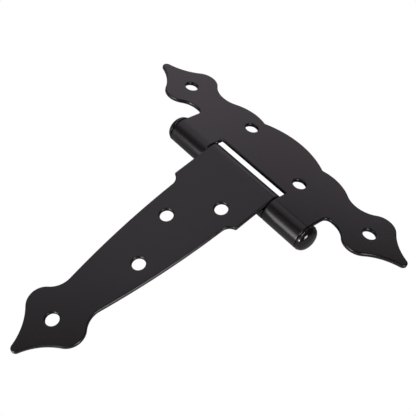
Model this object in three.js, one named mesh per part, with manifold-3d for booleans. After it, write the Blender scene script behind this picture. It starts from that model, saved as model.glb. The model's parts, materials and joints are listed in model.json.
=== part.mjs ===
// Ornamental tee hinge in sheet steel: a tapering strap leaf and a cross leaf with pointed
// finials, each rolled into knuckles around one headed pin.
// Millimetres, +Z up. X runs along the pin. The hinge stands as it lies on a table: on the
// underside of its barrel, with both leaves sloping down until their far ends touch too.
// The origin is the middle of the bounding box's bottom face.

import * as THREE from 'three';
import { mergeVertices } from 'three/addons/utils/BufferGeometryUtils.js';
import Module from 'manifold-3d';

// ---- driving dimensions ----

const SHEET = 2.1;              // thickness of both leaves
const BARREL_RADIUS = 6.6;      // outside of the rolled knuckles
const ROLL_SEAM = 0.6;          // opening between a knuckle's rolled end and its leaf's back
const SCREW_HOLE_RADIUS = 3.175;

const SIDE_CLEARANCE = 0.35;    // strap knuckle to the cross leaf's knuckles, each side
const NOTCH_CLEARANCE = 0.85;   // strap knuckle to the cross leaf's notch
const PIN_CLEARANCE = 0.3;      // pin to the inside of the knuckles, all round
const HEAD_CLEARANCE = 0.3;     // pin head to the outer knuckle's end

// A finial is a chain of tangent arcs: round tip, hollow flank, round lobe, hollow neck.
// Distances run back from the tip and out from the finial's own centre line.
const STRAP_FINIAL = {
  tipRadius: 2.3,
  flankRadius: 29.8,
  lobeBack: 23.1,
  lobeOut: 8.35,
  lobeRadius: 8.25,
  neckHalf: 10.55,
  neckRadius: 10.3,
  holeBack: 21.2,
};
const STRAP = {
  reach: 129.2,                 // pin axis to the strap's tip
  width: 42.3,                  // at the knuckle
  shoulder: 22.0,               // pin axis to the end of the full width
  shoulderRadius: 1.05,
  stepHalf: 17.25,              // half width just past the shoulder
  stepRadius: 4.9,
  sideRadius: 449,              // the long bowed sides
  holes: [[8.7, 19.2], [-6.0, 39.3], [4.7, 64.3]],  // across, and out from the pin axis
};

const CROSS_FINIAL = {
  tipRadius: 2.4,
  flankRadius: 27.2,
  lobeBack: 22.0,
  lobeOut: 7.0,
  lobeRadius: 8.4,
  neckHalf: 8.75,
  neckRadius: 12.6,
  holeBack: 21.9,
};
const CROSS = {
  span: 85.3,                   // over the two outer knuckles
  finialLine: 22.0,             // pin axis to the finials' centre line
  nearNeckOut: 4.07,            // outer knuckle's end to the middle of the near neck
  nearNeckHalf: 9.1,
  nearNeckRadius: 10.7,
  cornerRadius: 3.0,            // where the near neck turns down to the outer knuckle
  sideCrown: 36.35,             // pin axis to the top of the side arcs
  sideRadius: 22.45,
  crown: 40.4,                  // pin axis to the top of the middle arc
  crownRadius: 42.4,
  holes: [[-20.8, 26.7], [20.7, 17.7]],             // across, and out from the pin axis
};

const HEAD = {
  flangeOverhang: 0,            // how far the flange stands out past the barrel
  flangeThickness: 0.6,
  flangeRound: 0.2,
  domeStep: 0.3,                // from the flange's rim in to the dome's foot
  domeHeight: 3.4,
};

// ---- fineness ----

const CHORD_ERROR = 0.03;
const ROLL_STEP = THREE.MathUtils.degToRad(6);
const HOLE_SIDES = 32;
const PIN_SIDES = 48;
const DOME_STEPS = 8;

// ---- what follows from the sizes ----

const BORE_RADIUS = BARREL_RADIUS - SHEET;
const PIN_RADIUS = BORE_RADIUS - PIN_CLEARANCE;
const NOTCH_HALF = STRAP.width / 2 + SIDE_CLEARANCE;
const NOTCH_DEPTH = BARREL_RADIUS + NOTCH_CLEARANCE;
const SPAN_HALF = CROSS.span / 2;
const FLANGE_RADIUS = BARREL_RADIUS + HEAD.flangeOverhang;
const STAND_RADIUS = Math.max(BARREL_RADIUS, FLANGE_RADIUS);
const ROLL_SWEEP = 1.5 * Math.PI + Math.asin((BORE_RADIUS - ROLL_SEAM) / BARREL_RADIUS);
const CUT = 2;                  // how far a cutting shape runs past what it cuts

// ---- outlines from tangent arcs ----
// An arc is { x, y, r, turn }: turn is 1 where the outline bulges out, -1 where it is hollow.

/** The centre of a circle at distance ra from (ax, ay) and rb from (bx, by). */
function centreBetween(ax, ay, ra, bx, by, rb, side) {
  const span = Math.hypot(bx - ax, by - ay);
  const along = (span * span + ra * ra - rb * rb) / (2 * span);
  const off = side * Math.sqrt(ra * ra - along * along);
  const ux = (bx - ax) / span;
  const uy = (by - ay) / span;
  return [ax + along * ux - off * uy, ay + along * uy + off * ux];
}

/** Where an outline leaves arc a and meets arc b, on their common tangent line. */
function tangentPoints(a, b) {
  const span = Math.hypot(b.x - a.x, b.y - a.y);
  const ux = (b.x - a.x) / span;
  const uy = (b.y - a.y) / span;
  const lift = THREE.MathUtils.clamp((b.turn * b.r - a.turn * a.r) / span, -1, 1);
  const level = Math.sqrt(1 - lift * lift);
  const nx = lift * ux - level * uy;
  const ny = lift * uy + level * ux;
  return [
    new THREE.Vector2(a.x - a.turn * a.r * nx, a.y - a.turn * a.r * ny),
    new THREE.Vector2(b.x - b.turn * b.r * nx, b.y - b.turn * b.r * ny),
  ];
}

/** Points along an arc from one point to another, ends included. */
function arcPoints(arc, from, to) {
  const start = Math.atan2(from.y - arc.y, from.x - arc.x);
  const end = Math.atan2(to.y - arc.y, to.x - arc.x);
  const turnRound = 2 * Math.PI;
  let sweep = (((end - start) * arc.turn) % turnRound + turnRound) % turnRound;
  if (sweep > 1.8 * Math.PI) sweep = 0;
  const step = 2 * Math.acos(1 - CHORD_ERROR / arc.r);
  const steps = Math.max(1, Math.ceil(sweep / step));
  const points = [];
  for (let i = 0; i <= steps; i += 1) {
    const angle = start + (arc.turn * sweep * i) / steps;
    points.push(new THREE.Vector2(arc.x + arc.r * Math.cos(angle), arc.y + arc.r * Math.sin(angle)));
  }
  return points;
}

/** The outline from one point to another along a chain of arcs joined by tangent lines. */
function chainPoints(first, arcs, last) {
  const stops = [{ ...first, r: 0, turn: 1 }, ...arcs, { ...last, r: 0, turn: 1 }];
  const joins = stops.slice(1).map((stop, i) => tangentPoints(stops[i], stop));
  const points = [new THREE.Vector2(first.x, first.y)];
  arcs.forEach((arc, i) => points.push(...arcPoints(arc, joins[i][1], joins[i + 1][0])));
  points.push(new THREE.Vector2(last.x, last.y));
  return points;
}

/** Drops points that repeat the one before them. */
function withoutRepeats(points) {
  return points.filter((point, i) => i === 0 || point.distanceTo(points[i - 1]) > 1e-3);
}

/** The other half of an outline, mirrored in the Y axis and run backwards. */
function mirrored(points) {
  return points.map((point) => new THREE.Vector2(-point.x, point.y)).reverse();
}

/** A finial's arcs in its own frame: { back, out } from the tip and from its centre line. */
function finialArcs(finial, neckHalf, neckRadius) {
  const { tipRadius, flankRadius, lobeBack, lobeOut, lobeRadius } = finial;
  const [flankBack, flankOut] = centreBetween(
    tipRadius, 0, tipRadius + flankRadius,
    lobeBack, lobeOut, lobeRadius + flankRadius, 1,
  );
  const neckOut = neckHalf + neckRadius;
  const neckBack = lobeBack + Math.sqrt((lobeRadius + neckRadius) ** 2 - (neckOut - lobeOut) ** 2);
  return {
    tip: { back: tipRadius, out: 0, r: tipRadius, turn: 1 },
    flank: { back: flankBack, out: flankOut, r: flankRadius, turn: -1 },
    lobe: { back: lobeBack, out: lobeOut, r: lobeRadius, turn: 1 },
    neck: { back: neckBack, out: neckOut, r: neckRadius, turn: -1 },
  };
}

/** Half of the strap's outline, from the tip on the centre line up to the barrel. */
function strapHalf() {
  const parts = finialArcs(STRAP_FINIAL, STRAP_FINIAL.neckHalf, STRAP_FINIAL.neckRadius);
  const place = ({ back, out, r, turn }) => ({ x: out, y: back - STRAP.reach, r, turn });
  const tip = place(parts.tip);
  const neck = place(parts.neck);
  const half = STRAP.width / 2;
  const shoulder = {
    x: half - STRAP.shoulderRadius,
    y: STRAP.shoulderRadius - STRAP.shoulder,
    r: STRAP.shoulderRadius,
    turn: 1,
  };
  const stepX = STRAP.stepHalf + STRAP.stepRadius;
  const stepDrop = Math.sqrt((STRAP.stepRadius + shoulder.r) ** 2 - (stepX - shoulder.x) ** 2);
  const step = { x: stepX, y: shoulder.y - stepDrop, r: STRAP.stepRadius, turn: -1 };
  const [sideX, sideY] = centreBetween(
    neck.x, neck.y, neck.r + STRAP.sideRadius,
    step.x, step.y, step.r + STRAP.sideRadius, 1,
  );
  const side = { x: sideX, y: sideY, r: STRAP.sideRadius, turn: 1 };
  const arcs = [tip, place(parts.flank), place(parts.lobe), neck, side, step, shoulder];
  return chainPoints({ x: 0, y: -STRAP.reach }, arcs, { x: half, y: BARREL_RADIUS + CUT });
}

/** Half of the cross leaf's outline, from the outer knuckle round the finial to the crown. */
function crossHalf() {
  const far = finialArcs(CROSS_FINIAL, CROSS_FINIAL.neckHalf, CROSS_FINIAL.neckRadius);
  const near = finialArcs(CROSS_FINIAL, CROSS.nearNeckHalf, CROSS.nearNeckRadius);
  const tipX = crossTip();
  const place = (sign) => ({ back, out, r, turn }) => (
    { x: tipX - back, y: CROSS.finialLine + sign * out, r, turn }
  );
  const corner = {
    x: SPAN_HALF + CROSS.cornerRadius,
    y: CROSS.finialLine - CROSS.nearNeckHalf - CROSS.cornerRadius,
    r: CROSS.cornerRadius,
    turn: -1,
  };
  const nearArcs = [near.neck, near.lobe, near.flank].map(place(-1));
  const farArcs = [far.tip, far.flank, far.lobe, far.neck].map(place(1));
  const farNeck = farArcs.at(-1);
  const sideY = CROSS.sideCrown - CROSS.sideRadius;
  const sideReach = farNeck.r + CROSS.sideRadius;
  const side = {
    x: farNeck.x - Math.sqrt(sideReach ** 2 - (farNeck.y - sideY) ** 2),
    y: sideY,
    r: CROSS.sideRadius,
    turn: 1,
  };
  const crown = { x: 0, y: CROSS.crown - CROSS.crownRadius, r: CROSS.crownRadius, turn: 1 };
  const [cuspX, cuspY] = centreBetween(side.x, side.y, side.r, crown.x, crown.y, crown.r, -1);
  const cusp = { x: cuspX, y: cuspY };
  const start = { x: SPAN_HALF, y: -BARREL_RADIUS - CUT };
  const edge = chainPoints(start, [corner, ...nearArcs, ...farArcs, side], cusp);
  return [...edge, ...arcPoints(crown, cusp, { x: 0, y: CROSS.crown })];
}

/** Pin centre plane to the tip of the cross leaf's finial. */
function crossTip() {
  const near = finialArcs(CROSS_FINIAL, CROSS.nearNeckHalf, CROSS.nearNeckRadius);
  return SPAN_HALF + CROSS.nearNeckOut + near.neck.back;
}

// ---- solids ----

const wasm = await Module();
wasm.setup();

/** A closed three.js geometry as a solid that can be cut and joined. */
function toSolid(geometry) {
  const bare = geometry.index ? geometry.toNonIndexed() : geometry.clone();
  bare.deleteAttribute('normal');
  bare.deleteAttribute('uv');
  const merged = mergeVertices(bare, 1e-5);
  return new wasm.Manifold(new wasm.Mesh({
    numProp: 3,
    vertProperties: new Float32Array(merged.attributes.position.array),
    triVerts: new Uint32Array(merged.index.array),
  }));
}

/** A solid back as a three.js geometry. */
function toGeometry(solid) {
  const mesh = solid.getMesh();
  const geometry = new THREE.BufferGeometry();
  geometry.setAttribute('position', new THREE.BufferAttribute(new Float32Array(mesh.vertProperties), 3));
  geometry.setIndex(new THREE.BufferAttribute(new Uint32Array(mesh.triVerts), 1));
  geometry.computeVertexNormals();
  return geometry;
}

/** A flat outline with round screw holes, as tall as the barrel and a little more. */
function planPrism(outline, holes) {
  const shape = new THREE.Shape(withoutRepeats(outline));
  shape.holes = holes.map(([x, y]) => {
    const hole = [];
    for (let i = 0; i < HOLE_SIDES; i += 1) {
      const angle = (2 * Math.PI * i) / HOLE_SIDES;
      hole.push(new THREE.Vector2(
        x + SCREW_HOLE_RADIUS * Math.cos(angle),
        y + SCREW_HOLE_RADIUS * Math.sin(angle),
      ));
    }
    return new THREE.Path(hole);
  });
  const height = 2 * (BARREL_RADIUS + CUT);
  const prism = new THREE.ExtrudeGeometry(shape, { depth: height, bevelEnabled: false });
  return toSolid(prism.translate(0, 0, -height / 2));
}

/** Sheet seen along the pin: flat leaf towards side (-1 or 1), rolled round under the pin. */
function rolledSheet(side, length, width) {
  const steps = Math.ceil(ROLL_SWEEP / ROLL_STEP);
  const outer = [];
  const inner = [];
  for (let i = 0; i <= steps; i += 1) {
    const turned = Math.min(i * ROLL_STEP, ROLL_SWEEP);
    const y = -side * Math.sin(turned);
    const z = Math.cos(turned);
    outer.push(new THREE.Vector2(BARREL_RADIUS * y, BARREL_RADIUS * z));
    inner.push(new THREE.Vector2(BORE_RADIUS * y, BORE_RADIUS * z));
  }
  const section = [
    new THREE.Vector2(side * length, BARREL_RADIUS),
    ...outer,
    ...inner.reverse(),
    new THREE.Vector2(side * length, BORE_RADIUS),
  ];
  const sheet = new THREE.ExtrudeGeometry(new THREE.Shape(section), { depth: width, bevelEnabled: false });
  sheet.translate(0, 0, -width / 2);
  const alongX = new THREE.Matrix4().makeBasis(
    new THREE.Vector3(0, 1, 0), new THREE.Vector3(0, 0, 1), new THREE.Vector3(1, 0, 0),
  );
  return toSolid(sheet.applyMatrix4(alongX));
}

/** The strap leaf, flat along -Y with its upper face level with the barrel's top. */
function strapLeaf() {
  const half = strapHalf();
  const outline = [...half, ...mirrored(half)];
  const holes = STRAP.holes.map(([across, out]) => [across, -out]);
  holes.push([0, STRAP_FINIAL.holeBack - STRAP.reach]);
  const sheet = rolledSheet(-1, STRAP.reach + CUT, STRAP.width + CUT);
  return toGeometry(sheet.intersect(planPrism(outline, holes)));
}

/** The cross leaf, flat along +Y, with a notch for the strap's knuckle. */
function crossLeaf() {
  const half = crossHalf();
  const notch = [
    new THREE.Vector2(-NOTCH_HALF, -BARREL_RADIUS - CUT),
    new THREE.Vector2(-NOTCH_HALF, NOTCH_DEPTH),
    new THREE.Vector2(NOTCH_HALF, NOTCH_DEPTH),
    new THREE.Vector2(NOTCH_HALF, -BARREL_RADIUS - CUT),
  ];
  const outline = [...half, ...mirrored(half), ...notch];
  const finialHole = crossTip() - CROSS_FINIAL.holeBack;
  const holes = [
    ...CROSS.holes,
    [-finialHole, CROSS.finialLine],
    [finialHole, CROSS.finialLine],
  ];
  const sheet = rolledSheet(1, CROSS.crown + CUT, 2 * crossTip() + CUT);
  return toGeometry(sheet.intersect(planPrism(outline, holes)));
}

/** Half of the pin's profile, from its middle to the crown of one head: [radius, along]. */
function pinHalfProfile() {
  const { flangeThickness, flangeRound, domeStep, domeHeight } = HEAD;
  const domeRadius = FLANGE_RADIUS - domeStep;
  const seat = SPAN_HALF + HEAD_CLEARANCE;
  const foot = seat + flangeThickness;
  const profile = [
    [PIN_RADIUS, seat],
    [FLANGE_RADIUS - flangeRound, seat],
    [FLANGE_RADIUS, seat + flangeRound],
    [FLANGE_RADIUS, foot - flangeRound],
    [FLANGE_RADIUS - flangeRound, foot],
  ];
  for (let i = DOME_STEPS; i >= 0; i -= 1) {
    const angle = (Math.PI / 2) * (i / DOME_STEPS);
    profile.push([domeRadius * Math.sin(angle), foot + domeHeight * Math.cos(angle)]);
  }
  return profile;
}

/** The pin with its two domed heads, along X. */
function hingePin() {
  const half = pinHalfProfile();
  const other = half.map(([radius, along]) => [radius, -along]).reverse();
  const points = [...other, ...half].map(([radius, along]) => new THREE.Vector2(radius, along));
  return new THREE.LatheGeometry(points, PIN_SIDES).rotateZ(-Math.PI / 2);
}

// ---- the assembly ----

/** How far a leaf leans down when its far end and the barrel both touch the table. */
function leanOf(reach) {
  return Math.atan2(BORE_RADIUS, reach) + Math.asin(STAND_RADIUS / Math.hypot(reach, BORE_RADIUS));
}

/** Black powder coat. */
function blackCoat(color, roughness) {
  return new THREE.MeshStandardMaterial({ color, roughness, metalness: 0.0 });
}

function namedMesh(name, geometry, material) {
  const mesh = new THREE.Mesh(geometry, material);
  mesh.name = name;
  return mesh;
}

const strap = new THREE.Group();
strap.add(namedMesh('strap_leaf', strapLeaf(), blackCoat(0x141315, 0.42)));
strap.rotation.x = leanOf(STRAP.reach);

const cross = new THREE.Group();
cross.add(namedMesh('cross_leaf', crossLeaf(), blackCoat(0x161517, 0.42)));
cross.add(namedMesh('hinge_pin', hingePin(), blackCoat(0x121113, 0.3)));
cross.rotation.x = -leanOf(CROSS.crown);

const hinge = new THREE.Group();
hinge.name = 'tee_hinge';
hinge.add(cross, strap);
hinge.updateMatrixWorld(true);
const box = new THREE.Box3().setFromObject(hinge, true);
hinge.position.set(0, -(box.min.y + box.max.y) / 2, -box.min.z);

export default hinge;
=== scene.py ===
"""Ornamental tee hinge in black powder coat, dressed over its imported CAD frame.

Each leaf is drawn flat as one outline of tangent arcs, given its rounded sheet edges, rolled
round the pin as the real sheet is, and then laid down on the table. Sizes are millimetres in
the leaf's own flat frame (x along the pin, y away from it, z up from the leaf's upper face);
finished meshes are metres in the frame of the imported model.
"""

import json
import logging
import math
from dataclasses import dataclass
from enum import Enum

import bmesh
import bpy
from mathutils import Matrix, Vector


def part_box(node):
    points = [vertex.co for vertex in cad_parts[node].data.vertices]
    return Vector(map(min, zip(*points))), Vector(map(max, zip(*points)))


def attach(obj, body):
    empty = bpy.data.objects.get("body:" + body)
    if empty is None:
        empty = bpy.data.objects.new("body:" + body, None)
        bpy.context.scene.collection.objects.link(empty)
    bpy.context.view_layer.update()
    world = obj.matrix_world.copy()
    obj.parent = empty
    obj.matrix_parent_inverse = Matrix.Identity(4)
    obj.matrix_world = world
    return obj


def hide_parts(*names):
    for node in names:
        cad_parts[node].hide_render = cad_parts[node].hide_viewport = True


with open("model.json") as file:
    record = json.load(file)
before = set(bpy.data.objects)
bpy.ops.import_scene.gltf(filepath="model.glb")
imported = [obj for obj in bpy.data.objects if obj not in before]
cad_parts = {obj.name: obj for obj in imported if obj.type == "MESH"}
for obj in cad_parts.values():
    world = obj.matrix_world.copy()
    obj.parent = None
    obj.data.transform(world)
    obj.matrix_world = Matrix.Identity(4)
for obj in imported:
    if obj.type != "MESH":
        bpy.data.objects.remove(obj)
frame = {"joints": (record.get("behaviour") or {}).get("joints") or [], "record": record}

LOG = logging.getLogger("tee_hinge")
MM = 0.001
JOINED = 0.005
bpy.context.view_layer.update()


class Turn(Enum):
    """Which way an outline bends along an arc."""

    BULGE = 1
    HOLLOW = -1


class Side(Enum):
    """Which side of the pin a leaf lies on, along the model's Y axis."""

    STRAP = -1
    CROSS = 1


class Slot(Enum):
    """The record's material slots."""

    LEAF = "leaf_coat"
    PIN = "pin_coat"


class Front(Enum):
    """Shapes of a softbox's front."""

    SQUARE = "RECTANGLE"
    ROUND = "ELLIPSE"


# ---------------------------------------------------------------- outlines


@dataclass(frozen=True)
class Arc:
    """A stretch of outline with one radius; radius 0 is a plain point."""

    x: float
    y: float
    radius: float = 0.0
    turn: Turn = Turn.BULGE

    @property
    def centre(self) -> Vector:
        """The arc's centre in the leaf's plane."""
        return Vector((self.x, self.y))

    @property
    def signed(self) -> float:
        """The radius, negative where the outline is hollow."""
        return self.radius * self.turn.value


def centre_between(
    first: Vector, first_reach: float, second: Vector, second_reach: float, side: int
) -> Vector:
    """Finds the centre that lies at given distances from two points.

    Args:
        first: One point.
        first_reach: Distance from it.
        second: The other point.
        second_reach: Distance from that.
        side: 1 for the answer on the left of the line from first to second, -1 for the right.

    Returns:
        The centre.
    """
    line = second - first
    span = line.length
    along = (span**2 + first_reach**2 - second_reach**2) / (2 * span)
    off = side * math.sqrt(first_reach**2 - along**2)
    unit = line / span
    return first + along * unit + off * Vector((-unit.y, unit.x))


def tangent_points(leaving: Arc, meeting: Arc) -> tuple[Vector, Vector]:
    """Finds the ends of the straight line that joins two arcs smoothly.

    Args:
        leaving: The arc the outline comes from.
        meeting: The arc it goes to.

    Returns:
        The point on each arc where the line touches it.
    """
    line = meeting.centre - leaving.centre
    unit = line.normalized()
    lift = max(-1.0, min(1.0, (meeting.signed - leaving.signed) / line.length))
    level = math.sqrt(1.0 - lift**2)
    normal = lift * unit + level * Vector((-unit.y, unit.x))
    return leaving.centre - leaving.signed * normal, meeting.centre - meeting.signed * normal


@dataclass(frozen=True)
class Finial:
    """A pointed finial: round tip, hollow flanks, round lobes and hollow necks, all tangent.

    Distances run back from the tip and out from the finial's centre line.
    """

    tip_radius: float
    flank_radius: float
    lobe_back: float
    lobe_out: float
    lobe_radius: float
    neck_half: float
    neck_radius: float
    hole_back: float

    def arcs(self, neck_half: float, neck_radius: float) -> list[Arc]:
        """Places one side of the finial.

        Args:
            neck_half: Half width of the neck on this side.
            neck_radius: Radius of its hollow.

        Returns:
            Tip, flank, lobe and neck, with x back from the tip and y out from the centre line.
        """
        tip = Arc(self.tip_radius, 0.0, self.tip_radius)
        lobe = Arc(self.lobe_back, self.lobe_out, self.lobe_radius)
        flank_centre = centre_between(
            tip.centre,
            self.tip_radius + self.flank_radius,
            lobe.centre,
            self.lobe_radius + self.flank_radius,
            1,
        )
        flank = Arc(flank_centre.x, flank_centre.y, self.flank_radius, Turn.HOLLOW)
        neck_out = neck_half + neck_radius
        reach = self.lobe_radius + neck_radius
        neck_back = self.lobe_back + math.sqrt(reach**2 - (neck_out - self.lobe_out) ** 2)
        neck = Arc(neck_back, neck_out, neck_radius, Turn.HOLLOW)
        return [tip, flank, lobe, neck]


class Wire:
    """An outline drawn vertex by vertex into a bmesh, counter-clockwise."""

    ARC_STEP = math.radians(4.0)
    LONGEST_CHORD = 2.0

    def __init__(self, mesh: bmesh.types.BMesh, start: Vector) -> None:
        """Starts the outline at a point."""
        self.mesh = mesh
        self.first = mesh.verts.new((start.x, start.y, 0.0))
        self.last = self.first

    def line_to(self, point: Vector) -> None:
        """Draws a straight line on to a point."""
        if (self.last.co.xy - point).length < JOINED:
            return
        made = bmesh.ops.extrude_vert_indiv(self.mesh, verts=[self.last])
        self.last = made["verts"][0]
        self.last.co = (point.x, point.y, 0.0)

    def arc_to(self, arc: Arc, end: Vector) -> None:
        """Draws along an arc to a point on it."""
        start = self.last.co.xy - arc.centre
        finish = end - arc.centre
        turned = math.atan2(finish.y, finish.x) - math.atan2(start.y, start.x)
        sweep = (turned * arc.turn.value) % math.tau
        if sweep * arc.radius < JOINED or (math.tau - sweep) * arc.radius < JOINED:
            return
        steps = max(2, math.ceil(sweep / self.ARC_STEP), math.ceil(sweep * arc.radius / self.LONGEST_CHORD))
        made = bmesh.ops.spin(
            self.mesh,
            geom=[self.last],
            cent=(arc.x, arc.y, 0.0),
            axis=(0.0, 0.0, 1.0),
            angle=sweep * arc.turn.value,
            steps=steps,
        )
        self.last = next(item for item in made["geom_last"] if isinstance(item, bmesh.types.BMVert))

    def chain(self, arcs: list[Arc]) -> None:
        """Draws through a chain of arcs joined by tangent lines.

        Args:
            arcs: The arcs in order; the first and last only steer where the chain begins and
                ends, and are usually points.
        """
        joins = [tangent_points(one, other) for one, other in zip(arcs, arcs[1:])]
        for index, arc in enumerate(arcs[1:-1]):
            self.line_to(joins[index][1])
            if arc.radius:
                self.arc_to(arc, joins[index + 1][0])
        self.line_to(joins[-1][1])


def walked(first: bmesh.types.BMVert) -> list[bmesh.types.BMVert]:
    """Lists an outline's vertices in order.

    Args:
        first: The vertex that the outline starts at.

    Returns:
        The vertices from the first to the last; a closed outline isn't closed again.
    """
    path = [first]
    seen = {first}
    while True:
        onward = [edge.other_vert(path[-1]) for edge in path[-1].link_edges]
        onward = [vert for vert in onward if vert not in seen]
        if not onward:
            return path
        path.append(onward[0])
        seen.add(onward[0])


def outward(path: list[Vector]) -> list[Vector]:
    """Works out how each point of an open outline moves when the outline grows by one unit.

    Args:
        path: The outline's points, counter-clockwise round the metal.

    Returns:
        The mitred outward direction at each point.
    """
    lines = [(after - before).normalized() for before, after in zip(path, path[1:])]
    normals = [Vector((line.y, -line.x)) for line in lines]
    pairs = zip([normals[0], *normals], [*normals, normals[-1]])
    return [(one + other) / (1.0 + one.dot(other)) for one, other in pairs]


# ---------------------------------------------------------------- rolled sheet


@dataclass(frozen=True)
class Sheet:
    """The steel both leaves are made of, and how it is rolled."""

    thickness: float = 2.1
    edge_round: float = 0.65
    edge_steps: int = 6
    barrel_radius: float = 6.599
    roll_seam: float = 0.6
    roll_steps: int = 76
    end_chamfer: float = 0.25
    hole_radius: float = 3.175
    hole_sides: int = 64

    @property
    def bore_radius(self) -> float:
        """Inside of the knuckles."""
        return self.barrel_radius - self.thickness

    @property
    def roll_sweep(self) -> float:
        """How far round the pin the sheet is rolled, in radians."""
        return 1.5 * math.pi + math.asin((self.bore_radius - self.roll_seam) / self.barrel_radius)

    def edge_profile(self) -> list[tuple[float, float]]:
        """Lists the sheet's rounded edge from its upper to its lower face.

        Returns:
            Pairs of how far in from the outline and how deep below the upper face.
        """
        quarter = [i * math.pi / 2 / self.edge_steps for i in range(self.edge_steps + 1)]
        upper = [
            (self.edge_round * (1 - math.sin(angle)), self.edge_round * (1 - math.cos(angle)))
            for angle in quarter
        ]
        return upper + [(inset, self.thickness - depth) for inset, depth in reversed(upper)]


@dataclass(frozen=True)
class Placing:
    """Where a flat leaf goes: its pin axis and how far it leans down from level."""

    pin: Vector
    lean: float

    def matrix(self, barrel_radius: float) -> Matrix:
        """Builds the move from the flat frame in millimetres to the model's in metres.

        Args:
            barrel_radius: Pin axis to the leaf's upper face, in millimetres.

        Returns:
            The matrix.
        """
        lift = Matrix.Translation((0.0, 0.0, barrel_radius))
        turn = Matrix.Rotation(self.lean, 4, "X")
        return Matrix.Translation(self.pin) @ turn @ Matrix.Scale(MM, 4) @ lift


class RolledLeaf:
    """A flat leaf in the making, whose edge by the pin is rolled into knuckles.

    The leaf is drawn in its upper face. Outlines that end at the pin are kept in pairs, because
    each knuckle is rolled from the section between two such ends.
    """

    def __init__(self, sheet: Sheet, side: Side) -> None:
        """Opens an empty mesh."""
        self.sheet = sheet
        self.side = side
        self.mesh = bmesh.new()
        self.rims: list[tuple[list[bmesh.types.BMEdge], list[bmesh.types.BMEdge]]] = []
        self.ends: list[list[bmesh.types.BMVert]] = []

    def wall(self, path: list[bmesh.types.BMVert], ways: list[Vector]) -> None:
        """Grows the sheet's rounded edge down from an outline in its upper face.

        Args:
            path: The outline's vertices in order.
            ways: The way out of the metal at each of them, in the leaf's plane.
        """
        members = set(path)
        edges = list({edge for vert in path for edge in vert.link_edges if set(edge.verts) <= members})
        points = [vert.co.xy.copy() for vert in path]
        rows, rims = [], []
        for row, (inset, depth) in enumerate(self.sheet.edge_profile()):
            if row:
                made = bmesh.ops.extrude_edge_only(self.mesh, edges=edges)["geom"]
                fresh = {item for item in made if isinstance(item, bmesh.types.BMVert)}
                path = [
                    next(e.other_vert(vert) for e in vert.link_edges if e.other_vert(vert) in fresh)
                    for vert in path
                ]
                edges = list({edge for vert in path for edge in vert.link_edges if set(edge.verts) <= fresh})
            for vert, point, way in zip(path, points, ways):
                spot = point - way * inset
                vert.co = (spot.x, spot.y, -depth)
            rows.append(path)
            rims.append(edges)
        self.rims.append((rims[0], rims[-1]))
        self.ends += [[path[0] for path in rows], [path[-1] for path in rows]]

    def outline(self, first: bmesh.types.BMVert) -> None:
        """Adds the wall of an outline that runs from one knuckle's end to another."""
        path = walked(first)
        self.wall(path, outward([vert.co.xy.copy() for vert in path]))

    def hole(self, x: float, y: float) -> None:
        """Adds the wall of a round screw hole."""
        ring = bmesh.ops.create_circle(
            self.mesh,
            segments=self.sheet.hole_sides,
            radius=self.sheet.hole_radius,
            matrix=Matrix.Translation((x, y, 0.0)),
        )["verts"]
        self.wall(ring, [(Vector((x, y)) - vert.co.xy).normalized() for vert in ring])
        del self.ends[-2:]

    def roll(self) -> None:
        """Rolls each knuckle round the pin from the section between two outline ends."""
        ends = sorted(self.ends, key=lambda column: column[0].co.x)
        centre = (0.0, 0.0, -self.sheet.barrel_radius)
        for left, right in zip(ends[::2], ends[1::2]):
            upper = self.mesh.edges.new((left[0], right[0]))
            lower = self.mesh.edges.new((left[-1], right[-1]))
            self.rims.append(([upper], [lower]))
            columns = [self.mesh.edges.get(pair) for side in (left, right) for pair in zip(side, side[1:])]
            made = bmesh.ops.spin(
                self.mesh,
                geom=[upper, lower, *columns, *left, *right],
                cent=centre,
                axis=(1.0, 0.0, 0.0),
                angle=self.side.value * self.sheet.roll_sweep,
                steps=self.sheet.roll_steps,
            )["geom_last"]
            brim = [item for item in made if isinstance(item, bmesh.types.BMEdge)]
            cap = bmesh.ops.contextual_create(self.mesh, geom=brim)["faces"]
            bmesh.ops.inset_region(
                self.mesh,
                faces=cap,
                thickness=self.sheet.end_chamfer,
                depth=-self.sheet.end_chamfer,
                use_even_offset=True,
            )

    def faces(self) -> None:
        """Fills the leaf's upper and lower faces between their rims."""
        for level, up in ((0, 1.0), (1, -1.0)):
            rim = [edge for pair in self.rims for edge in pair[level]]
            bmesh.ops.triangle_fill(self.mesh, use_beauty=True, edges=rim, normal=(0.0, 0.0, up))

    def finished(self, name: str, placing: Placing) -> bpy.types.Object:
        """Rolls, fills and places the leaf.

        Args:
            name: Name of the object.
            placing: Where it goes.

        Returns:
            The object, at the origin with its place in its mesh.
        """
        self.roll()
        self.faces()
        bmesh.ops.transform(
            self.mesh, matrix=placing.matrix(self.sheet.barrel_radius), verts=self.mesh.verts
        )
        return to_object(self.mesh, name)


def to_object(mesh: bmesh.types.BMesh, name: str) -> bpy.types.Object:
    """Closes a bmesh and links it as a smooth object.

    Args:
        mesh: The bmesh, which is freed.
        name: Name of the object and its mesh.

    Returns:
        The object.
    """
    bmesh.ops.recalc_face_normals(mesh, faces=mesh.faces)
    for face in mesh.faces:
        face.smooth = True
    open_edges = sum(1 for edge in mesh.edges if not edge.is_manifold)
    data = bpy.data.meshes.new(name)
    mesh.to_mesh(data)
    mesh.free()
    piece = bpy.data.objects.new(name, data)
    bpy.context.scene.collection.objects.link(piece)
    even = piece.modifiers.new("even_shading", "WEIGHTED_NORMAL")
    even.weight = 100
    LOG.info("%s: %d faces, %d open edges", name, len(data.polygons), open_edges)
    return piece


# ---------------------------------------------------------------- the pieces


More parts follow.
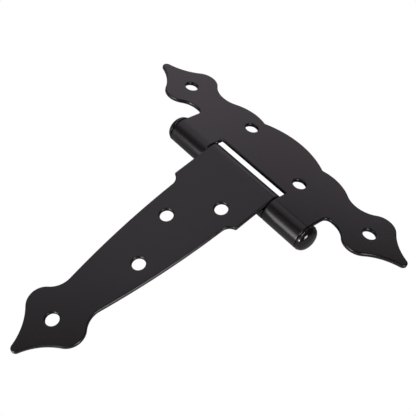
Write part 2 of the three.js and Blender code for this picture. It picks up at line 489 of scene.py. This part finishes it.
@dataclass
class StrapLeaf:
    """The tapering strap that is screwed to the door or gate."""

    sheet: Sheet
    placing: Placing
    reach: float = 129.2
    width: float = 42.3
    shoulder: float = 22.0
    shoulder_radius: float = 1.05
    step_half: float = 17.25
    step_radius: float = 4.9
    side_radius: float = 449.0
    holes: tuple[tuple[float, float], ...] = ((8.7, 19.2), (-6.0, 39.3), (4.7, 64.3))
    finial: Finial = Finial(2.3, 29.8, 23.1, 8.35, 8.25, 10.55, 10.3, 21.2)

    def half(self) -> list[Arc]:
        """Lists the arcs of the right half, from the tip up to the pin."""
        parts = self.finial.arcs(self.finial.neck_half, self.finial.neck_radius)
        tip, flank, lobe, neck = (Arc(p.y, p.x - self.reach, p.radius, p.turn) for p in parts)
        shoulder = Arc(
            self.width / 2 - self.shoulder_radius,
            self.shoulder_radius - self.shoulder,
            self.shoulder_radius,
        )
        step_x = self.step_half + self.step_radius
        drop = math.sqrt((self.step_radius + shoulder.radius) ** 2 - (step_x - shoulder.x) ** 2)
        step = Arc(step_x, shoulder.y - drop, self.step_radius, Turn.HOLLOW)
        bow = centre_between(
            neck.centre, neck.radius + self.side_radius, step.centre, step.radius + self.side_radius, 1
        )
        side = Arc(bow.x, bow.y, self.side_radius)
        return [tip, flank, lobe, neck, side, step, shoulder, Arc(self.width / 2, 0.0)]

    def build(self) -> bpy.types.Object:
        """Makes the strap leaf."""
        leaf = RolledLeaf(self.sheet, Side.STRAP)
        right = self.half()
        tip = right[0]
        left = [Arc(-arc.x, arc.y, arc.radius, arc.turn) for arc in reversed(right[1:])]
        wire = Wire(leaf.mesh, Vector((-self.width / 2, 0.0)))
        wire.chain([*left, tip, *right[1:]])
        leaf.outline(wire.first)
        for across, out in self.holes:
            leaf.hole(across, -out)
        leaf.hole(0.0, self.finial.hole_back - self.reach)
        return leaf.finished("strap_leaf_coated", self.placing)


@dataclass
class CrossLeaf:
    """The long leaf that is screwed to the frame or post, notched for the strap's knuckle."""

    sheet: Sheet
    placing: Placing
    notch_half: float = 21.5
    notch_depth: float = 7.45
    span: float = 85.3
    finial_line: float = 22.0
    near_neck_out: float = 4.07
    near_neck_half: float = 9.1
    near_neck_radius: float = 10.7
    corner_radius: float = 3.0
    side_crown: float = 36.35
    side_radius: float = 22.45
    crown: float = 40.4
    crown_radius: float = 42.4
    holes: tuple[tuple[float, float], ...] = ((-20.8, 26.7), (20.7, 17.7))
    finial: Finial = Finial(2.4, 27.2, 22.0, 7.0, 8.4, 8.75, 12.6, 21.9)

    @property
    def tip_x(self) -> float:
        """Middle of the hinge to the finial's tip."""
        near = self.finial.arcs(self.near_neck_half, self.near_neck_radius)
        return self.span / 2 + self.near_neck_out + near[3].x

    def half(self) -> list[Arc]:
        """Lists the arcs of the right half, from the outer knuckle round to the crown."""
        near = self.finial.arcs(self.near_neck_half, self.near_neck_radius)
        far = self.finial.arcs(self.finial.neck_half, self.finial.neck_radius)
        near = [Arc(self.tip_x - p.x, self.finial_line - p.y, p.radius, p.turn) for p in near]
        far = [Arc(self.tip_x - p.x, self.finial_line + p.y, p.radius, p.turn) for p in far]
        corner = Arc(
            self.span / 2 + self.corner_radius,
            self.finial_line - self.near_neck_half - self.corner_radius,
            self.corner_radius,
            Turn.HOLLOW,
        )
        side_y = self.side_crown - self.side_radius
        reach = far[3].radius + self.side_radius
        side_x = far[3].x - math.sqrt(reach**2 - (far[3].y - side_y) ** 2)
        side = Arc(side_x, side_y, self.side_radius)
        crown = Arc(0.0, self.crown - self.crown_radius, self.crown_radius)
        cusp = centre_between(side.centre, side.radius, crown.centre, crown.radius, -1)
        start = Arc(self.span / 2, 0.0)
        return [start, corner, *near[:0:-1], *far, side, Arc(cusp.x, cusp.y), crown]

    def build(self) -> bpy.types.Object:
        """Makes the cross leaf."""
        leaf = RolledLeaf(self.sheet, Side.CROSS)
        right = self.half()
        left = [Arc(-arc.x, arc.y, arc.radius, arc.turn) for arc in reversed(right[:-1])]
        wire = Wire(leaf.mesh, Vector((self.span / 2, 0.0)))
        wire.chain([*right, *left])
        leaf.outline(wire.first)
        notch = Wire(leaf.mesh, Vector((-self.notch_half, 0.0)))
        notch.line_to(Vector((-self.notch_half, self.notch_depth)))
        notch.line_to(Vector((self.notch_half, self.notch_depth)))
        notch.line_to(Vector((self.notch_half, 0.0)))
        leaf.outline(notch.first)
        finial_hole = self.tip_x - self.finial.hole_back
        for across, out in (*self.holes, (-finial_hole, self.finial_line), (finial_hole, self.finial_line)):
            leaf.hole(across, out)
        return leaf.finished("cross_leaf_coated", self.placing)


@dataclass
class HingePin:
    """The riveted pin with a domed head at each end."""

    sheet: Sheet
    placing: Placing
    span: float = 85.3
    clearance: float = 0.3
    head_clearance: float = 0.3
    flange_thickness: float = 0.6
    flange_round: float = 0.22
    dome_step: float = 0.3
    dome_height: float = 3.4
    sides: int = 128

    def profile(self, mesh: bmesh.types.BMesh) -> None:
        """Draws half of the pin's profile from its middle to the crown of one head.

        Args:
            mesh: The bmesh to draw in; x runs along the pin and y is the radius.
        """
        shaft = self.sheet.bore_radius - self.clearance
        rim = self.sheet.barrel_radius
        seat = self.span / 2 + self.head_clearance
        foot = seat + self.flange_thickness
        dome = rim - self.dome_step
        inner = Arc(seat + self.flange_round, rim - self.flange_round, self.flange_round, Turn.HOLLOW)
        outer = Arc(foot - self.flange_round, inner.y, self.flange_round, Turn.HOLLOW)
        wire = Wire(mesh, Vector((0.0, shaft)))
        wire.line_to(Vector((seat, shaft)))
        wire.line_to(Vector((seat, inner.y)))
        wire.arc_to(inner, Vector((inner.x, rim)))
        wire.line_to(Vector((outer.x, rim)))
        wire.arc_to(outer, Vector((foot, outer.y)))
        wire.line_to(Vector((foot, dome)))
        below = set(mesh.verts)
        wire.arc_to(Arc(foot, 0.0, dome, Turn.HOLLOW), Vector((foot + dome, 0.0)))
        bmesh.ops.scale(
            mesh,
            vec=(self.dome_height / dome, 1.0, 1.0),
            space=Matrix.Translation((-foot, 0.0, 0.0)),
            verts=[vert for vert in mesh.verts if vert not in below],
        )

    def build(self) -> bpy.types.Object:
        """Makes the pin."""
        mesh = bmesh.new()
        self.profile(mesh)
        bmesh.ops.spin(
            mesh,
            geom=[*mesh.verts, *mesh.edges],
            cent=(0.0, 0.0, 0.0),
            axis=(1.0, 0.0, 0.0),
            angle=math.tau,
            steps=self.sides,
            use_merge=True,
        )
        bmesh.ops.mirror(mesh, geom=[*mesh.verts, *mesh.edges, *mesh.faces], merge_dist=JOINED, axis="X")
        bmesh.ops.remove_doubles(mesh, verts=mesh.verts, dist=1e-4)
        bmesh.ops.transform(mesh, matrix=self.placing.matrix(0.0), verts=mesh.verts)
        return to_object(mesh, "hinge_pin_coated")


# ---------------------------------------------------------------- finishes


@dataclass(frozen=True)
class PowderCoat:
    """Black powder coat: dark, smooth, with a faint orange-peel skin.

    Lengths are metres, because the patterns read object coordinates.
    """

    name: str
    colour: tuple[float, float, float]
    roughness: float
    roughness_spread: float
    peel_size: float
    peel_depth: float
    coat: float = 0.0

    def material(self) -> bpy.types.Material:
        """Builds the node material."""
        made = bpy.data.materials.new(self.name)
        made.use_nodes = True
        tree = made.node_tree
        shader = tree.nodes["Principled BSDF"]
        shader.inputs["Specular IOR Level"].default_value = 0.5
        shader.inputs["IOR"].default_value = 1.5
        shader.inputs["Coat Weight"].default_value = self.coat
        shader.inputs["Coat Roughness"].default_value = 0.1
        place = tree.nodes.new("ShaderNodeTexCoord")

        cloud = self.noise(tree, place, 0.018, 2.0)
        tint = tree.nodes.new("ShaderNodeMix")
        tint.data_type = "RGBA"
        tint.inputs["A"].default_value = (*[0.86 * c for c in self.colour], 1.0)
        tint.inputs["B"].default_value = (*[1.14 * c for c in self.colour], 1.0)
        tree.links.new(cloud.outputs["Fac"], tint.inputs["Factor"])
        tree.links.new(tint.outputs["Result"], shader.inputs["Base Color"])

        drift = self.noise(tree, place, 0.007, 3.0)
        gloss = tree.nodes.new("ShaderNodeMapRange")
        gloss.inputs["To Min"].default_value = self.roughness - self.roughness_spread
        gloss.inputs["To Max"].default_value = self.roughness + self.roughness_spread
        tree.links.new(drift.outputs["Fac"], gloss.inputs["Value"])
        tree.links.new(gloss.outputs["Result"], shader.inputs["Roughness"])

        peel = self.noise(tree, place, self.peel_size, 2.0)
        bump = tree.nodes.new("ShaderNodeBump")
        bump.inputs["Strength"].default_value = 1.0
        bump.inputs["Distance"].default_value = self.peel_depth
        tree.links.new(peel.outputs["Fac"], bump.inputs["Height"])
        tree.links.new(bump.outputs["Normal"], shader.inputs["Normal"])
        return made

    @staticmethod
    def noise(
        tree: bpy.types.NodeTree, place: bpy.types.Node, size: float, detail: float
    ) -> bpy.types.Node:
        """Adds a noise pattern.

        Args:
            tree: The material's node tree.
            place: Its texture coordinate node.
            size: Size of the pattern in metres.
            detail: How many finer layers it has.

        Returns:
            The noise node.
        """
        pattern = tree.nodes.new("ShaderNodeTexNoise")
        pattern.inputs["Scale"].default_value = 1.0 / size
        pattern.inputs["Detail"].default_value = detail
        tree.links.new(place.outputs["Object"], pattern.inputs["Vector"])
        return pattern


LEAF_COAT = PowderCoat("leaf_powder_coat", (0.0075, 0.0066, 0.0068), 0.24, 0.02, 0.0007, 0.000003)
PIN_COAT = PowderCoat("pin_powder_coat", (0.006, 0.0054, 0.0056), 0.13, 0.02, 0.0008, 0.000002)


# ---------------------------------------------------------------- studio


@dataclass(frozen=True)
class Softbox:
    """A soft studio light, sized as the angles it fills seen from the model."""

    name: str
    azimuth: float
    elevation: float
    across: float
    tall: float
    radiance: float
    tint: tuple[float, float, float] = (1.0, 1.0, 1.0)
    front: Front = Front.SQUARE
    distance: float = 1.2

    def build(self, target: Vector) -> bpy.types.Object:
        """Hangs the light, facing a point.

        Args:
            target: The point it faces.

        Returns:
            The light object.
        """
        data = bpy.data.lights.new(self.name, "AREA")
        data.shape = self.front.value
        data.size = 2.0 * self.distance * math.tan(math.radians(self.across) / 2)
        data.size_y = 2.0 * self.distance * math.tan(math.radians(self.tall) / 2)
        fill = math.pi / 4 if self.front is Front.ROUND else 1.0
        data.energy = self.radiance * math.pi * fill * data.size * data.size_y
        data.color = self.tint
        lamp = bpy.data.objects.new(self.name, data)
        bpy.context.scene.collection.objects.link(lamp)
        back = direction(self.azimuth, self.elevation)
        lamp.matrix_world = Matrix.Translation(target + back * self.distance) @ facing(back)
        return lamp


def direction(azimuth: float, elevation: float) -> Vector:
    """Gives the direction of a viewer; azimuth 0 looks along +Y and grows towards +X."""
    turn, tilt = math.radians(azimuth), math.radians(elevation)
    return Vector((math.sin(turn) * math.cos(tilt), -math.cos(turn) * math.cos(tilt), math.sin(tilt)))


def facing(back: Vector) -> Matrix:
    """Turns an object's -Z axis against a direction, with its X axis level."""
    return back.to_track_quat("Z", "Y").to_matrix().to_4x4()


def backdrop(mesh: bmesh.types.BMesh, name: str, scatter: float, glow: float) -> bpy.types.Object:
    """Makes a plain white object that isn't part of the model.

    Args:
        mesh: Its shape, which is freed.
        name: Name of the object and its material.
        scatter: How much light it scatters, from 0 to 1.
        glow: How much light it gives; 1 is white to the camera.

    Returns:
        The object.
    """
    data = bpy.data.meshes.new(name)
    mesh.to_mesh(data)
    mesh.free()
    made = bpy.data.objects.new(name, data)
    bpy.context.scene.collection.objects.link(made)
    finish = bpy.data.materials.new(name)
    finish.use_nodes = True
    shader = finish.node_tree.nodes["Principled BSDF"]
    shader.inputs["Base Color"].default_value = (scatter, scatter, scatter, 1.0)
    shader.inputs["Specular IOR Level"].default_value = 0.0
    shader.inputs["Emission Color"].default_value = (1.0, 1.0, 1.0, 1.0)
    shader.inputs["Emission Strength"].default_value = glow
    data.materials.append(finish)
    return made


@dataclass(frozen=True)
class Studio:
    """White floor, softboxes and the camera.

    The camera sees seamless, shadowless white. The model stands on plain paper that the camera
    doesn't see, which lights it from below and is mirrored in it.
    """

    floor_size: float = 6.0
    paper: float = 0.55
    fill: float = 0.03
    fill_tint: tuple[float, float, float] = (1.0, 0.75, 0.72)
    camera_target: tuple[float, float, float] = (0.00438, 0.02048, 0.01117)
    camera_azimuth: float = 48.696
    camera_elevation: float = 54.135
    camera_roll: float = -0.197
    camera_distance: float = 0.38322
    camera_lens: float = 73.29
    lights: tuple[Softbox, ...] = (
        Softbox("back_left_low_softbox", -136.0, 16.0, 64.0, 28.0, 0.7, (1.0, 0.89, 0.99)),
        Softbox("back_left_low_core", -137.0, 16.0, 22.0, 28.0, 0.1, (1.0, 0.92, 1.06)),
        Softbox("back_left_high_softbox", -114.0, 49.0, 64.0, 34.0, 0.5, (1.0, 0.93, 0.99)),
        Softbox("back_left_high_core", -126.0, 49.0, 40.0, 34.0, 0.24, (1.0, 0.95, 1.12)),
        Softbox("front_softbox_rim", -8.0, 15.0, 50.0, 54.0, 1.0, front=Front.ROUND),
        Softbox("front_softbox", -8.0, 14.0, 42.0, 40.0, 1.5, front=Front.ROUND),
        Softbox("front_softbox_core", -10.0, 12.0, 40.0, 24.0, 1.6, front=Front.ROUND),
        Softbox("front_lamp", 5.0, 13.0, 22.0, 13.0, 26.0, front=Front.ROUND),
        Softbox("front_high_softbox", 0.0, 52.0, 28.0, 24.0, 1.2, (1.0, 0.93, 1.0)),
        Softbox("right_softbox", 88.0, 20.0, 22.0, 20.0, 15.0, (1.0, 0.96, 1.03)),
        Softbox("top_left_softbox", -150.0, 76.0, 40.0, 16.0, 0.3),
    )

    def build(self) -> None:
        """Sets up floor, lights and camera."""
        self.paper_floor()
        self.white_room()
        self.world()
        for light in self.lights:
            light.build(Vector((0.0, 0.0, 0.0)))
        self.camera()
        bpy.context.scene.view_settings.view_transform = "Standard"

    def paper_floor(self) -> None:
        """Lays the paper that scatters light up to the model and is mirrored in it."""
        mesh = bmesh.new()
        bmesh.ops.create_grid(mesh, x_segments=1, y_segments=1, size=self.floor_size / 2)
        paper = backdrop(mesh, "paper_floor", self.paper, 0.0)
        paper.visible_camera = False

    def white_room(self) -> None:
        """Surrounds the model with the seamless white that only the camera sees."""
        mesh = bmesh.new()
        bmesh.ops.create_icosphere(mesh, subdivisions=3, radius=self.floor_size)
        room = backdrop(mesh, "white_room", 0.0, 1.0)
        room.visible_diffuse = False
        room.visible_glossy = False
        room.visible_transmission = False
        room.visible_shadow = False

    def world(self) -> None:
        """Fills the room with a little even light."""
        world = bpy.data.worlds.new("fill")
        world.use_nodes = True
        glow = world.node_tree.nodes["Background"]
        glow.inputs["Color"].default_value = (*self.fill_tint, 1.0)
        glow.inputs["Strength"].default_value = self.fill
        bpy.context.scene.world = world

    def camera(self) -> None:
        """Puts up the camera."""
        data = bpy.data.cameras.new("camera")
        data.sensor_width = 36.0
        data.lens = self.camera_lens
        data.clip_start = 0.01
        camera = bpy.data.objects.new("camera", data)
        bpy.context.scene.collection.objects.link(camera)
        back = direction(self.camera_azimuth, self.camera_elevation)
        spot = Vector(self.camera_target) + back * self.camera_distance
        roll = Matrix.Rotation(math.radians(self.camera_roll), 4, "Z")
        camera.matrix_world = Matrix.Translation(spot) @ facing(back) @ roll
        bpy.context.scene.camera = camera


# ---------------------------------------------------------------- the whole


def placing_of(mount: str) -> Placing:
    """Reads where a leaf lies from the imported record.

    Args:
        mount: Name of the mount on the leaf's flat face.

    Returns:
        The pin's axis and the leaf's lean.
    """
    joint = frame["joints"][0]
    axis = next(m["axis"] for m in frame["record"]["mounts"] if m["name"] == mount)
    return Placing(Vector(joint["pos_m"]), math.atan2(-axis[1], axis[2]))


def dress(piece: bpy.types.Object, node: str, body: str, coat: bpy.types.Material) -> None:
    """Gives a finished piece its material, and puts it in its CAD node's place.

    Args:
        piece: The piece.
        node: The CAD node it stands for.
        body: The body it rides on.
        coat: Its material.
    """
    piece.data.materials.append(coat)
    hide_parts(node)
    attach(piece, body)
    low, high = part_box(node)
    spots = [vert.co for vert in piece.data.vertices]
    mine = [(min(s[i] for s in spots), max(s[i] for s in spots)) for i in range(3)]
    slack = max(max(abs(mine[i][0] - low[i]), abs(mine[i][1] - high[i])) for i in range(3))
    LOG.info("%s stands for %s, boxes agree within %.3f mm", piece.name, node, slack / MM)


def main() -> None:
    """Builds the hinge and its studio."""
    logging.basicConfig(level=logging.INFO, format="%(message)s")
    sheet = Sheet()
    strap_place = placing_of("strap_seat")
    cross_place = placing_of("cross_seat")
    leaf_coat = LEAF_COAT.material()
    pin_coat = PIN_COAT.material()
    dress(StrapLeaf(sheet, strap_place).build(), "strap_leaf", "strap", leaf_coat)
    dress(CrossLeaf(sheet, cross_place).build(), "cross_leaf", "cross", leaf_coat)
    dress(HingePin(sheet, cross_place).build(), "hinge_pin", "cross", pin_coat)
    Studio().build()


if __name__ == "__main__":
    main()
